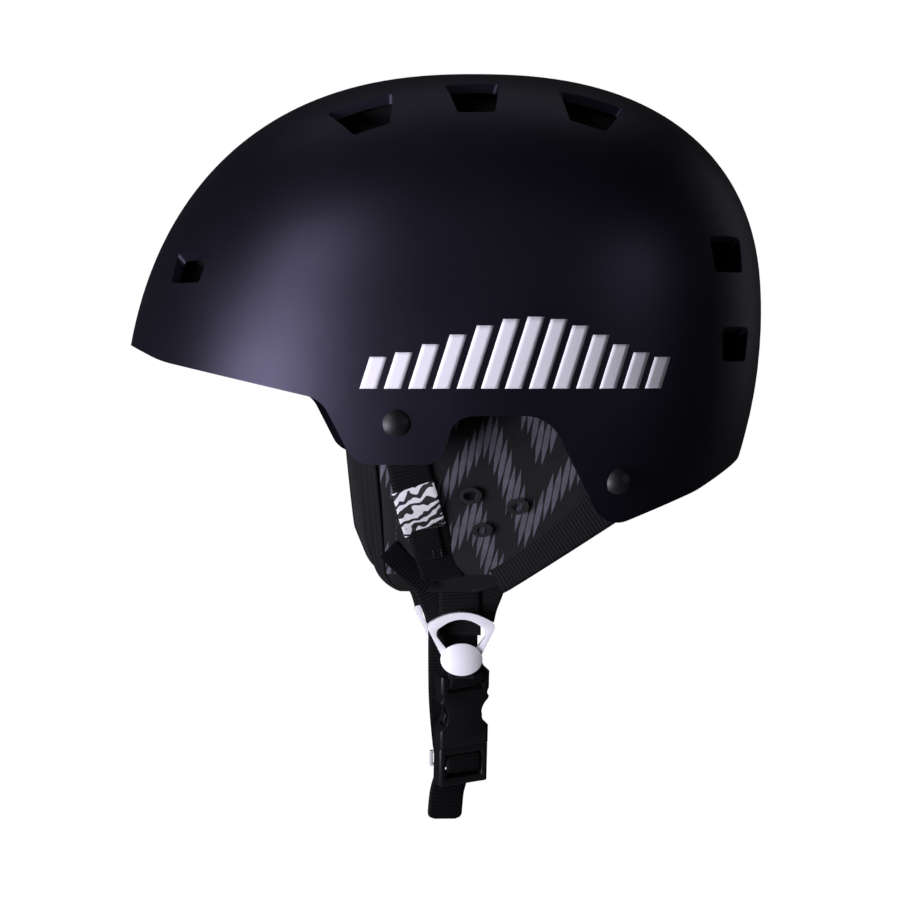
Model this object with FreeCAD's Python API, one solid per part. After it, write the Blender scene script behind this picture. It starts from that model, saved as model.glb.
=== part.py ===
import FreeCAD
import Part
import math
import os

# Water helmet. Front is -Y, the wearer's left is +X, up is +Z.
# The origin is where the crown of the head meets the crown pad.

# ---- driving dimensions, mm ----
CROWN_Z = 30.0          # outer crown above the head seat
CROWN_Y = 14.0          # the crown lies a little behind mid-length
FRONT_REACH = 158.5     # front quadrant of the profile
FRONT_DROP = 175.0
BACK_REACH = 127.7      # back quadrant of the profile
BACK_DROP = 107.0
HALF_WIDTH = 113.0
SIDE_DROP = 112.0
PROFILE_POWER = 2.4
PLAN_POWER = 2.25
BACK_TUCK = 9.7         # how far the nape draws in again
SIDE_TUCK = 5.0
SKIRT_DEPTH = 205.0
SHELL_WALL = 3.5
LINER_OUT = 4.0
LINER_IN = 20.0
COMFORT_OUT = 20.3
COMFORT_IN = 30.0

WEB_WIDTH = 18.0
WEB_THICK = 1.3
RIVET_R = 5.5
RIVET_BALL_R = 9.0      # the domed cap is a slice of this ball
SHANK_R = 2.0
SHANK_PLAY = 0.2
WASHER_R = 5.0
WASHER_T = 1.2
COVER_T = 2.0           # ear pad layers from the outside in
FOAM_T = 8.0
LINING_T = 2.0
HEM_DEPTH = 219.5       # the printed cover stops here and the smooth hem starts
HEM_GAP = 0.5
EYELET_LIP = 1.1
EYELET_RISE = 1.2
LAYER_GAP = 0.3         # webbing stands this far off whatever is under it
DIVIDER_X = 57.0
DIVIDER_Y = 3.8
PLATE_T = 2.9           # one plate of a strap divider
HINGE_DROP = 6.8        # divider hinge pin below the button
STRAP_END = 229.5       # depth where the harness webbing meets the divider
BUTTON_Z = -227.2
BUCKLE_TOP = (44.0, 5.2, -233.8)
BUCKLE_TILT = 18.0      # its foot leans towards the chin
BUCKLE_TURN = 19.0      # its face turns a little to the rear
BUCKLE_W = 23.0
BUCKLE_T = 9.0
SOCKET_L = 34.0
TONGUE_L = 18.0
SOCKET_SLOT = (8.6, -7.6, -3.8)     # half width, low, high
SOCKET_MOUTH = (9.6, 2.8, -11.0)    # half width, half thickness, roof
TONGUE_WINDOW = (8.7, 14.8, 3.2)    # half width, low and high below the tongue's shoulder
TONGUE_BAR = (8.9, 1.2, 10.3, 7.7)  # half width, half thickness, low and high
PIN_R = 0.9
KNUCKLE_R = 2.0
BUTTON_HALF = (9.1, 7.0)            # half length and half height of the oval
BUTTON_RISE = 3.2
BUTTON_BALL_R = 18.0
DIVIDER_BAR = 3.3                   # width of the divider's sides

# Lower edge of the shell, side view: (y, depth below crown, corner radius)
EDGE = [(-126, 128, 40), (-58, 144, 13), (-44, 171.3, 11), (-7.5, 171.3, 9), (-3.5, 151, 11),
        (37.5, 151, 17), (62.5, 199.5, 12), (105, 184, 45), (137, 167, 0)]
BRIM = (-146, 118)

# Ear pad, side view: (y, depth, corner radius)
EAR_PAD = [(-39, 132, 6), (-29, 227, 9), (19, 227, 9), (62, 197.5, 8), (62, 132, 6)]
CHEEK_ROLL = 7.0        # the lining stands this far ahead of the cover
# Outer face of the ear pad from the front: (x, depth)
PAD_FACE = [(90, 128), (91.5, 148), (90.5, 168), (85, 188), (75, 206), (63, 222), (58, 234), (57, 248)]
EAR_HOLES = [(5.8, 185.3, 3.8, 2.7), (26.2, 190, 3.6, 2.5), (11.4, 200.2, 3.3, 2.2)]
RIVETS = [(-27, 154), (67.5, 178.8)]

# Vents: y, depth, length up the shell, outboard width, inboard width
VENTS = [(-114, 88, 13, 20, 22), (-38, 22, 26, 15, 29), (9, 14, 28, 15, 22),
         (59, 20, 26, 15, 29), (119, 82, 15, 22, 24), (123, 121, 14, 20, 22)]

V = FreeCAD.Vector
os.makedirs("parts", exist_ok=True)


def save(name, shape):
    shape.exportStep("parts/" + name + ".step")
    print(name, len(shape.Solids), round(shape.Volume), shape.isValid())


def quadrant(depth, drop, reach, inset):
    """Distance out from the crown axis at a depth, on a superellipse quadrant."""
    if depth >= drop:
        return reach - inset
    rise = min(1.0, (drop - depth) / (drop - inset))
    return (reach - inset) * (1 - rise ** PROFILE_POWER) ** (1 / PROFILE_POWER)


def tuck(depth, start, amount):
    return amount * (max(0.0, depth - start) / 63.0) ** 2


def section_size(depth, inset):
    """Middle y, half length and half width of the shell at a depth."""
    front = CROWN_Y - quadrant(depth, FRONT_DROP, FRONT_REACH, inset)
    back = CROWN_Y + quadrant(depth, BACK_DROP, BACK_REACH, inset) - tuck(depth, BACK_DROP, BACK_TUCK)
    half_w = quadrant(depth, SIDE_DROP, HALF_WIDTH, inset) - tuck(depth, SIDE_DROP, SIDE_TUCK) * 0.5
    return (front + back) / 2, (back - front) / 2, half_w


def surface_x(y, depth):
    mid, half_l, half_w = section_size(depth, 0.0)
    off = min(1.0, abs(y - mid) / half_l)
    return half_w * (1 - off ** PLAN_POWER) ** (1 / PLAN_POWER)


def dome(inset):
    """The solid dome that lies an inset inside the outer surface."""
    wires = []
    levels = 16
    for i in range(levels):
        t = i / (levels - 1)
        depth = inset + 0.4 + (SKIRT_DEPTH - inset - 0.4) * t ** 1.8
        mid, half_l, half_w = section_size(depth, inset)
        points = []
        for k in range(36):
            a = 2 * math.pi * k / 36
            c = math.cos(a)
            s = math.sin(a)
            x = half_w * math.copysign(abs(c) ** (2 / PLAN_POWER), c)
            y = mid + half_l * math.copysign(abs(s) ** (2 / PLAN_POWER), s)
            points.append(V(x, y, CROWN_Z - depth))
        curve = Part.BSplineCurve()
        curve.interpolate(Points=points, PeriodicFlag=True)
        wires.append(Part.Wire([curve.toShape()]))
    return Part.makeLoft(wires, True, False)


def rounded(corners):
    """Closed wire through 3D corners, each (point, radius)."""
    edges = []
    ends = []
    count = len(corners)
    for i in range(count):
        p, r = corners[i]
        to_prev = (corners[i - 1][0] - p).normalize()
        to_next = (corners[(i + 1) % count][0] - p).normalize()
        if r <= 0:
            ends.append((p, p, None))
            continue
        half = to_prev.getAngle(to_next) / 2
        cut = r / math.tan(half)
        bisector = (to_prev + to_next).normalize()
        top = p + bisector * (r / math.sin(half) - r)
        ends.append((p + to_prev * cut, p + to_next * cut, top))
    for i in range(count):
        start, stop, top = ends[i]
        if top is not None:
            edges.append(Part.Arc(start, top, stop).toShape())
        edges.append(Part.LineSegment(stop, ends[(i + 1) % count][0]).toShape())
    return Part.Wire(edges)


def side_prism(corners, x0, x1):
    """Side-view outline of (y, depth, radius) corners, run along X."""
    placed = [(V(x0, y, CROWN_Z - d), r) for y, d, r in corners]
    return Part.Face(rounded(placed)).extrude(V(x1 - x0, 0, 0))


def keep_above(raise_by):
    """Everything above the shell's lower edge, raised by an amount."""
    low = [(BRIM[0] - 20, BRIM[1] - 7 - raise_by, 0), (BRIM[0], BRIM[1] - raise_by, 0)]
    low += [(y, d - raise_by, r) for y, d, r in EDGE]
    low += [(200, 150 - raise_by, 0), (200, -60, 0), (BRIM[0] - 20, -60, 0)]
    return side_prism(low, -150, 150)


def block(x0, x1, y0, y1, d0, d1):
    return Part.makeBox(x1 - x0, y1 - y0, d1 - d0, V(x0, y0, CROWN_Z - d1))


def vent_tool(vent, side, grow, inner):
    """A scoop: steep at its outboard end, a long slope at its inboard end."""
    y, depth, length, narrow, wide = vent
    x = surface_x(y, depth)
    here = V(x, y, CROWN_Z - depth)
    step = 1.0
    along_y = V(surface_x(y + step, depth) - surface_x(y - step, depth), 2 * step, 0)
    along_z = V(surface_x(y, depth - step) - surface_x(y, depth + step), 0, 2 * step)
    out = along_y.cross(along_z).normalize()
    if out.x < 0:
        out = out * -1
    flat = V(-here.x, 0, 0) if depth < 60 else V(0, 0, 1)
    up = (flat - out * flat.dot(out)).normalize()
    across = up.cross(out)

    def ring(height, low, high, half_low, half_high, radius):
        spots = [(-half_low, low), (half_low, low), (half_high, high), (-half_high, high)]
        return rounded([(here + across * a + up * b + out * height, radius) for a, b in spots])

    over = ring(7, -length / 2 - 1.5 - grow, length / 2 + 6 + grow, narrow / 2 + 2 + grow,
                wide / 2 + 4 + grow, 2.0)
    under = ring(-inner, -length / 2 + 1.5 - grow, length / 2 - 6 + grow, narrow / 2 - 1 + grow,
                 wide / 2 - 2.5 + grow, 2.0)
    tool = Part.makeLoft([over, under], True, True)
    if side < 0:
        tool = tool.mirror(V(0, 0, 0), V(1, 0, 0))
    return tool


def pad_layer(t0, t1):
    """Slab that follows the ear pad's face, between two depths under it."""
    curve = Part.BSplineCurve()
    curve.interpolate([V(x, 0, CROWN_Z - d) for x, d in PAD_FACE])
    rows = []
    for t in (t0, t1):
        line = []
        for i in range(13):
            at = curve.FirstParameter + (curve.LastParameter - curve.FirstParameter) * i / 12
            tangent = curve.tangent(at)[0]
            outward = V(-tangent.z, 0, tangent.x).normalize()
            line.append(curve.value(at) - outward * t)
        rows.append(line)
    outer = Part.BSplineCurve()
    outer.interpolate(rows[0])
    inner = Part.BSplineCurve()
    inner.interpolate(rows[1])
    edges = [outer.toShape(), Part.LineSegment(rows[0][-1], rows[1][-1]).toShape(),
             inner.toShape(), Part.LineSegment(rows[1][0], rows[0][0]).toShape()]
    face = Part.Face(Part.Wire(Part.__sortEdges__(edges)))
    face.translate(V(0, -90, 0))
    return face.extrude(V(0, 190, 0))


def strip(y0, d0, y1, d1, width):
    """A straight run of webbing in side view."""
    run = V(0, y1 - y0, d1 - d0).normalize()
    ey = run.z * width / 2
    ed = -run.y * width / 2
    corners = [(y0 - ey, d0 - ed, 0), (y0 + ey, d0 + ed, 0), (y1 + ey, d1 + ed, 0), (y1 - ey, d1 - ed, 0)]
    return side_prism(corners, 0, 150)


def both(name, shape):
    save(name + "_left", shape)
    save(name + "_right", shape.mirror(V(0, 0, 0), V(1, 0, 0)))


# ---- shell ----
vents = []
channels = []
for vent in VENTS:
    for side in (1, -1):
        vents.append(vent_tool(vent, side, 0.0, 10.0))
        channels.append(vent_tool(vent, side, 1.5, 34.0))
skin = dome(0)
shell = skin.cut(dome(SHELL_WALL)).common(keep_above(0)).cut(vents)
washer_layer = dome(SHELL_WALL + 0.1).cut(dome(SHELL_WALL + 0.1 + WASHER_T))
rivets = []
washers = []
for y, d in RIVETS:
    x = surface_x(y, d)
    for side in (1, -1):
        at = V(side * (x - SHELL_WALL - 3.5), y, CROWN_Z - d)
        shank = Part.makeCylinder(SHANK_R, SHELL_WALL + 4.5, at, V(side, 0, 0))
        shell = shell.cut(Part.makeCylinder(SHANK_R + SHANK_PLAY, 30, at, V(side, 0, 0)))
        ball = Part.makeSphere(RIVET_BALL_R, V(side * (x + 3.0 - RIVET_BALL_R), y, CROWN_Z - d))
        seat = Part.makeCylinder(RIVET_R, 12, V(side * (x - 5), y, CROWN_Z - d), V(side, 0, 0))
        rivets.append(shank.fuse(ball.common(seat).cut(skin)))
        ring = washer_layer.common(Part.makeCylinder(WASHER_R, 20, at - V(side * 4, 0, 0), V(side, 0, 0)))
        bore = Part.makeCylinder(SHANK_R + SHANK_PLAY - 0.05, 30, at - V(side * 9, 0, 0), V(side, 0, 0))
        washers.append(ring.cut(bore))
save("outer_shell", shell)
save("shell_rivets", Part.makeCompound(rivets))
save("rivet_washers", Part.makeCompound(washers))

# ---- impact liner and comfort pads ----
liner = dome(LINER_OUT).cut(dome(LINER_IN)).common(keep_above(6))
REGIONS = {
    "liner_front": block(-130, 130, -160, -62, 0, 112),
    "liner_rear": block(-130, 130, 76, 160, 0, 160),
    "liner_crown": block(-58, 58, -61.5, 75.5, 0, 126),
    "liner_left": block(58.5, 130, -61.5, 75.5, 0, 126),
    "liner_right": block(-130, -58.5, -61.5, 75.5, 0, 126)}
for name, region in REGIONS.items():
    save(name, liner.common(region).cut(channels))
comfort = dome(COMFORT_OUT).cut(dome(COMFORT_IN))
PADS = {
    "comfort_pad_front": block(-55, 55, -160, -66, 62, 108),
    "comfort_pad_rear": block(-55, 55, 80, 160, 62, 148),
    "comfort_pad_crown": block(-34, 34, -34, 58, 0, 70),
    "comfort_pad_left": block(60, 130, -48, 60, 62, 122),
    "comfort_pad_right": block(-130, -60, -48, 60, 62, 122)}
for name, region in PADS.items():
    save(name, comfort.common(region).cut(channels))

# ---- ear pads ----
outline = side_prism(EAR_PAD, 0, 150)
above_hem = block(0, 150, -60, 80, 120, HEM_DEPTH)
below_hem = block(0, 150, -60, 80, HEM_DEPTH + HEM_GAP, 232)


def ellipse_bar(y, depth, half_y, half_z):
    """An oval bar along X through an ear hole; the longer half comes first."""
    wire = Part.Wire([Part.Ellipse(V(0, 0, 0), half_y, half_z).toShape()])
    wire.rotate(V(0, 0, 0), V(0, 1, 0), 90)
    wire.rotate(V(0, 0, 0), V(1, 0, 0), 90)
    wire.translate(V(40, y, CROWN_Z - depth))
    return Part.Face(wire).extrude(V(70, 0, 0))


cover = pad_layer(0.0, COVER_T).common(outline)
foam = pad_layer(COVER_T, COVER_T + FOAM_T).common(outline)
rolled = [(y - CHEEK_ROLL if y < -30 else y, d, r) for y, d, r in EAR_PAD]
lining = pad_layer(COVER_T + FOAM_T, COVER_T + FOAM_T + LINING_T).common(side_prism(rolled, 0, 150))
rim_layer = pad_layer(-EYELET_RISE, -0.05)
eyelets = []
for y, d, ry, rz in EAR_HOLES:
    hole = ellipse_bar(y, d, ry, rz)
    cover = cover.cut(hole)
    foam = foam.cut(hole)
    lining = lining.cut(hole)
    rim = rim_layer.common(ellipse_bar(y, d, ry + EYELET_LIP, rz + EYELET_LIP - 0.2))
    eyelets.append(rim.cut(ellipse_bar(y, d, ry - 0.8, rz - 0.6)))
both("ear_pad_cover", cover.common(above_hem))
both("ear_pad_hem", cover.common(below_hem))
both("ear_pad_foam", foam)
both("ear_pad_lining", lining)
both("ear_pad_eyelets", Part.makeCompound(eyelets))
backing = dome(LINER_OUT).cut(dome(LINER_OUT + 3)).common(keep_above(5))
backing = backing.common(block(60, 130, -44, 50, 128, 200))
for y, d in RIVETS:
    backing = backing.cut(Part.makeCylinder(7, 60, V(70, y, CROWN_Z - d), V(1, 0, 0)))
both("ear_pad_backing", backing)

# ---- harness webbing over the pads ----
web = pad_layer(-LAYER_GAP - WEB_THICK, -LAYER_GAP)
both("front_strap", web.common(strip(-26, 146, -3.5, STRAP_END, WEB_WIDTH)))
second = pad_layer(-2 * (LAYER_GAP + WEB_THICK), -2 * LAYER_GAP - WEB_THICK)
both("rear_strap", second.common(strip(62, 190, 20.0, STRAP_END - 11, WEB_WIDTH)))
both("ribbon_tag", second.common(block(0, 150, -25, -8, 181.5, 200)))
both("strap_loop", second.common(block(0, 150, -18, -5.5, 200.5, 213)))

# ---- strap dividers ----
def triangle(x0, x1, grow):
    """The divider's outline: a wide arched top that narrows to the button."""
    spots = [(-15.5 - grow, 15.2 + grow, 3), (0, 23 + grow, 23 + 3 * grow), (15.5 + grow, 15.2 + grow, 3),
             (5.5 + grow, -4.5 - grow, 1.2), (-5.5 - grow, -4.5 - grow, 1.2)]
    corners = [(V(x0, DIVIDER_Y + y, BUTTON_Z + h), r) for y, h, r in spots]
    return Part.Face(rounded(corners)).extrude(V(x1 - x0, 0, 0))


def divider(x0, x1):
    above_button = Part.makeBox(20, 60, 30, V(x0 - 5, DIVIDER_Y - 30, BUTTON_Z + 2))
    return triangle(x0, x1, 0).cut(triangle(x0 - 1, x1 + 1, -DIVIDER_BAR).common(above_button))


def rod(x, y0, y1, z, radius):
    return Part.makeCylinder(radius, y1 - y0, V(x, DIVIDER_Y + y0, z), V(0, 1, 0))


def lug(x0, x1, y0, y1):
    """A hinge knuckle under a plate, round the divider's pin."""
    low = HINGE_Z + 1.5
    web = Part.makeBox(x1 - x0, y1 - y0, 1.8, V(x0, DIVIDER_Y + y0, low))
    return web.fuse(rod(HINGE_X, y0, y1, HINGE_Z, KNUCKLE_R))


HINGE_X = DIVIDER_X - 0.15
HINGE_Z = BUTTON_Z - HINGE_DROP
pin_bore = rod(HINGE_X, -20, 20, HINGE_Z, PIN_R + 0.05)
back_x = DIVIDER_X - PLATE_T - 0.3
back = divider(back_x, back_x + PLATE_T).fuse(lug(back_x, back_x + PLATE_T, 3.0, 5.4))
back = back.fuse(lug(back_x, back_x + PLATE_T, -5.4, -3.0)).cut(pin_bore)
front = divider(DIVIDER_X, DIVIDER_X + PLATE_T)
front = front.fuse(lug(DIVIDER_X, DIVIDER_X + PLATE_T, -2.7, 2.7)).cut(pin_bore)
both("divider_back", back)
both("divider_front", front)
both("divider_pin", rod(HINGE_X, -5.8, 5.8, HINGE_Z, PIN_R))
button_x = DIVIDER_X + PLATE_T + 0.1
crown_ball = Part.makeSphere(BUTTON_BALL_R, V(button_x + BUTTON_RISE - BUTTON_BALL_R, DIVIDER_Y, BUTTON_Z))
oval = Part.Wire([Part.Ellipse(V(0, 0, 0), *BUTTON_HALF).toShape()])
oval.rotate(V(0, 0, 0), V(0, 1, 0), 90)
oval.rotate(V(0, 0, 0), V(1, 0, 0), 90)
oval.translate(V(button_x, DIVIDER_Y, BUTTON_Z))
button = crown_ball.common(Part.Face(oval).extrude(V(6, 0, 0)))
both("divider_button", button)

# ---- buckle, in its own frame: x width, y thickness, z up ----
def box(x0, x1, y0, y1, z0, z1):
    return Part.makeBox(x1 - x0, y1 - y0, z1 - z0, V(x0, y0, z0))


place = FreeCAD.Placement(V(*BUCKLE_TOP), FreeCAD.Rotation(V(0, 0, 1), 90 + BUCKLE_TURN))
lean = FreeCAD.Placement(V(0, 0, 0), FreeCAD.Rotation(V(0, 1, 0), BUCKLE_TILT), V(*BUCKLE_TOP))


def put(shape):
    moved = shape.copy()
    moved.Placement = lean.multiply(place)
    return moved


w = BUCKLE_W / 2
t = BUCKLE_T / 2
socket = box(-w, w, -t, t, -SOCKET_L, 0)
socket = socket.makeFillet(1.6, [e for e in socket.Edges if abs(e.tangentAt(0).z) > 0.9])
slot_w, slot_low, slot_high = SOCKET_SLOT
socket = socket.cut(box(-slot_w, slot_w, -10, 10, slot_low, slot_high))
mouth_w, mouth_t, roof = SOCKET_MOUTH
socket = socket.cut(box(-mouth_w, mouth_w, -mouth_t, mouth_t, -SOCKET_L - 1, roof))
for side in (1, -1):
    notch = Part.makeCylinder(8.0, 20, V(side * (w + 4.2), -10, -19), V(0, 1, 0))
    socket = socket.cut(notch)
    waist = Part.makeCylinder(2.4, 20, V(side * (w + 1.2), -10, -9.6), V(0, 1, 0))
    socket = socket.cut(waist)
save("buckle_socket", put(socket))
foot = -SOCKET_L - 0.4
tongue = box(-w, w, -t + 0.4, t - 0.4, foot - TONGUE_L, foot)
tongue = tongue.makeFillet(1.4, [e for e in tongue.Edges if abs(e.tangentAt(0).z) > 0.9])
window_w, window_low, window_high = TONGUE_WINDOW
tongue = tongue.cut(box(-window_w, window_w, -10, 10, foot - window_low, foot - window_high))
bar_w, bar_t, bar_low, bar_high = TONGUE_BAR
tongue = tongue.fuse(box(-bar_w, bar_w, -bar_t, bar_t, foot - bar_low, foot - bar_high))
tongue = tongue.fuse(box(-1.5, 1.5, -1.8, 1.8, foot - 1, foot + 18))
save("buckle_tongue", put(tongue))
arm = box(5.2, 8.4, -2.0, 2.0, foot + 0.4, foot + 16)
arm = arm.fuse(Part.makeCylinder(3.4, 4.0, V(5.8, -2.0, foot + 13), V(0, 1, 0)))
arm = arm.cut(box(0, 4.4, -5, 5, foot, foot + 30))
save("tongue_arm_left", put(arm))
save("tongue_arm_right", put(arm.mirror(V(0, 0, 0), V(1, 0, 0))))

# ---- chin webbing ----
def ribbon(points, width, thick):
    """Webbing through (x, z) points; its width runs along Y."""
    curve = Part.BSplineCurve()
    curve.interpolate([V(x, 0, z) for x, z in points])
    sides = []
    for shift in (thick / 2, -thick / 2):
        line = []
        for i in range(9):
            at = curve.FirstParameter + (curve.LastParameter - curve.FirstParameter) * i / 8
            tan = curve.tangent(at)[0]
            line.append(curve.value(at) + V(-tan.z, 0, tan.x).normalize() * shift)
        bent = Part.BSplineCurve()
        bent.interpolate(line)
        sides.append((bent, line))
    edges = [sides[0][0].toShape(), sides[1][0].toShape(),
             Part.LineSegment(sides[0][1][0], sides[1][1][0]).toShape(),
             Part.LineSegment(sides[0][1][-1], sides[1][1][-1]).toShape()]
    face = Part.Face(Part.Wire(Part.__sortEdges__(edges)))
    face.translate(V(0, DIVIDER_Y - width / 2, 0))
    return face.extrude(V(0, width, 0))


save("chin_strap_left", ribbon([(51.6, -219.5), (50.6, -226), (48, -230.3)], 17, WEB_THICK))
far = [(-51.6, -219.5), (-50.5, -232), (-38, -254), (-16, -270.5), (-3, -275.5), (14.5, -277)]
save("chin_strap_right", ribbon(far, WEB_WIDTH, WEB_THICK))
tail = ribbon([(23.5, -287.6), (22.8, -294), (22, -301)], 17.5, WEB_THICK)
tail.translate(V(0, -6.5, 0))
save("strap_tail", tail)
KEEPER_HALF = 10.6
KEEPER_WALL = 1.2
clip = box(2, 7, DIVIDER_Y - KEEPER_HALF, DIVIDER_Y + KEEPER_HALF, -279.8, -273.0)
web_room = KEEPER_HALF - KEEPER_WALL
clip = clip.cut(box(0, 10, DIVIDER_Y - web_room, DIVIDER_Y + web_room, -278.8, -274.0))
save("strap_keeper", clip)
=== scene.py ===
import math

import bmesh
import bpy
from bpy.props import FloatProperty, FloatVectorProperty, PointerProperty
from mathutils import Matrix, Vector


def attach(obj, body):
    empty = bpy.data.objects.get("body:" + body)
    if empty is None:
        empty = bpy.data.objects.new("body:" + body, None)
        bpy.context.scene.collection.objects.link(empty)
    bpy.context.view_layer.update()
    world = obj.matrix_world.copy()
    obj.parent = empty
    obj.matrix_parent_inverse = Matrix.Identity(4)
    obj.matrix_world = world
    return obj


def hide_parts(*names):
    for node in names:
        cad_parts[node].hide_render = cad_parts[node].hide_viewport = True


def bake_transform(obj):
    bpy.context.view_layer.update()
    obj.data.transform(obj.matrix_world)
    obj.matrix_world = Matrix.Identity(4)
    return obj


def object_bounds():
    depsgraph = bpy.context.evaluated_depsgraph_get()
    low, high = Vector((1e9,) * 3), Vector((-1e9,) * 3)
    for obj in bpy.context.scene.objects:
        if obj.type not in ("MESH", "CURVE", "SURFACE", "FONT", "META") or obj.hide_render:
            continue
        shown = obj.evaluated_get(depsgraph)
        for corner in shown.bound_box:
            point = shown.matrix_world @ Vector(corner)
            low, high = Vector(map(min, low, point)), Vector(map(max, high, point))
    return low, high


bl_info = {
    "name": "Water helmet",
    "version": (1, 0, 0),
    "blender": (4, 5, 0),
    "location": "View3D > Sidebar > Helmet",
    "description": "Builds the soft goods, hardware finishes and stage of a water helmet",
    "category": "Object",
}

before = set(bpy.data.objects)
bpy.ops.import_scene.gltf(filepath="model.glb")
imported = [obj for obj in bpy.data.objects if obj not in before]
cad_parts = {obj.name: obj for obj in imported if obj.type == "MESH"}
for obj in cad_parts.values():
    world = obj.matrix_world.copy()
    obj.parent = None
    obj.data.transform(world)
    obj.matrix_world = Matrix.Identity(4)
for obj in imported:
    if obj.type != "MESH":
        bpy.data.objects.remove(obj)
CAD_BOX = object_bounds()

# ---- shell form, the same rule as the frame, metres ----
MM = 0.001
CROWN_Z, CROWN_Y = 30.0, 14.0
FRONT_REACH, FRONT_DROP = 158.5, 175.0
BACK_REACH, BACK_DROP = 127.7, 107.0
HALF_WIDTH, SIDE_DROP = 113.0, 112.0
PROFILE_POWER, PLAN_POWER = 2.4, 2.25
BACK_TUCK, SIDE_TUCK, TUCK_RUN = 9.7, 5.0, 63.0
PAD_FACE = [(90, 128), (91.5, 148), (90.5, 168), (85, 188),
            (75, 206), (63, 222), (58, 234), (57, 248)]
EAR_HOLES = [(5.8, 185.3, 3.8, 2.7), (26.2, 190, 3.6, 2.5), (11.4, 200.2, 3.3, 2.2)]
PRINT_END = 219.5
CHEEK_ROLL = 7.0
WEB_T = 1.3
KNUCKLE_TOP = -232.3
BUCKLE_TOP = Vector((44.0, 5.2, -233.8))
BUCKLE_TILT, BUCKLE_TURN = 18.0, 19.0


def quadrant(depth, drop, reach, inset=0.0):
    """Reach of one quarter of the shell from its middle line at a depth, mm."""
    rise = min(1.0, max(0.0, (drop - depth) / (drop - inset)))
    return (reach - inset) * (1 - rise ** PROFILE_POWER) ** (1 / PROFILE_POWER)


def shell_ends(depth, inset=0.0):
    """Front and rear y of the shell, or of a layer inside it, at a depth, mm."""
    low = max(0.0, depth - BACK_DROP) / TUCK_RUN
    front = CROWN_Y - quadrant(depth, FRONT_DROP, FRONT_REACH, inset)
    back = CROWN_Y + quadrant(depth, BACK_DROP, BACK_REACH, inset) - BACK_TUCK * low ** 2
    return front, back


def shell_x(y, depth):
    """Half width of the shell's outside at a length and a depth, mm."""
    front, back = shell_ends(depth)
    side_low = max(0.0, depth - SIDE_DROP) / TUCK_RUN
    half = quadrant(depth, SIDE_DROP, HALF_WIDTH) - SIDE_TUCK * 0.5 * side_low ** 2
    off = min(1.0, abs(y - (front + back) / 2) / ((back - front) / 2))
    return half * (1 - off ** PLAN_POWER) ** (1 / PLAN_POWER)


def smooth_path(points, steps):
    """Points along a Catmull-Rom curve through the given ones."""
    pts = [Vector(p) for p in points]
    pts = [pts[0] * 2 - pts[1]] + pts + [pts[-1] * 2 - pts[-2]]
    out = []
    for i in range(1, len(pts) - 2):
        a, b, c, d = pts[i - 1:i + 3]
        for k in range(steps):
            t = k / steps
            out.append(0.5 * (2 * b + (c - a) * t + (2 * a - 5 * b + 4 * c - d) * t * t
                              + (3 * b - a - 3 * c + d) * t ** 3))
    out.append(pts[-2])
    return out


FACE_LINE = smooth_path([(x, 0, d) for x, d in PAD_FACE], 12)


def pad_x(depth):
    """Where the ear pad's outer face lies at a depth, mm."""
    for a, b in zip(FACE_LINE, FACE_LINE[1:]):
        if a.z <= depth <= b.z:
            return a.x + (b.x - a.x) * (depth - a.z) / (b.z - a.z)
    return FACE_LINE[-1].x


def buckle_point(x, y, z):
    """A point of the buckle's own frame (width, thickness, up) in the helmet's, mm."""
    turn = Matrix.Rotation(math.radians(90 + BUCKLE_TURN), 4, "Z")
    lean = Matrix.Rotation(math.radians(BUCKLE_TILT), 4, "Y")
    return lean @ (turn @ Vector((x, y, z))) + BUCKLE_TOP


# ---- material building ----
def feed(tree, socket, value):
    """Links a node's output to the socket, or sets the socket's own value."""
    if isinstance(value, bpy.types.NodeSocket):
        tree.links.new(value, socket)
    else:
        socket.default_value = value


def math_node(tree, operation, a, b=0.0, c=0.0):
    """Adds one sum to a node tree and gives its result."""
    node = tree.nodes.new("ShaderNodeMath")
    node.operation = operation
    for socket, value in zip(node.inputs, (a, b, c)):
        feed(tree, socket, value)
    return node.outputs[0]


def noise_node(tree, vector, scale, detail=2.0):
    """Adds a noise texture to a node tree and gives its value."""
    node = tree.nodes.new("ShaderNodeTexNoise")
    for label, value in (("Vector", vector), ("Scale", scale), ("Detail", detail)):
        feed(tree, node.inputs[label], value)
    return node.outputs[0]


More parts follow.
